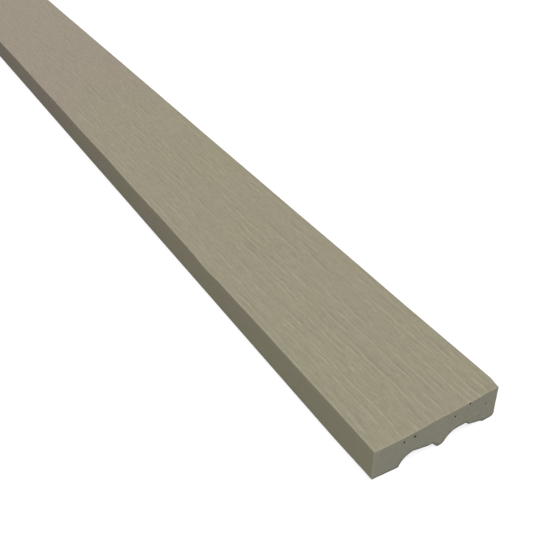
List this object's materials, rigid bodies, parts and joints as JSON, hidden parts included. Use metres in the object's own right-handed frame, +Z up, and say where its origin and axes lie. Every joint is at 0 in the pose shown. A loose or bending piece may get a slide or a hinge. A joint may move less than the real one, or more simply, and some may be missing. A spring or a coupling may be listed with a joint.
{
  "type": "fibre cement trim board",
  "caption": "Straight fibre cement trim board with an embossed wood-grain face, square sawn ends and a scooped back that rests on long feet; trims windows, corners and eaves.",
  "frame": {"origin": "middle of the board's length and width, on the plane of the feet that it lies on", "axes": "+X along the length, towards the end seen in the picture; +Y across the width, towards the edge with the rounded heel; +Z up, out of the grain face"},
  "size_m": [3.05, 0.095, 0.025],
  "materials": {
    "fibre_cement": "uncoated warm grey-beige fibre cement, dead matt, with fine wood-grain relief on the face and plain sawn ends"
  },
  "bodies": {
    "root": {"trim_board": "fibre_cement"}
  },
  "joints": []
}
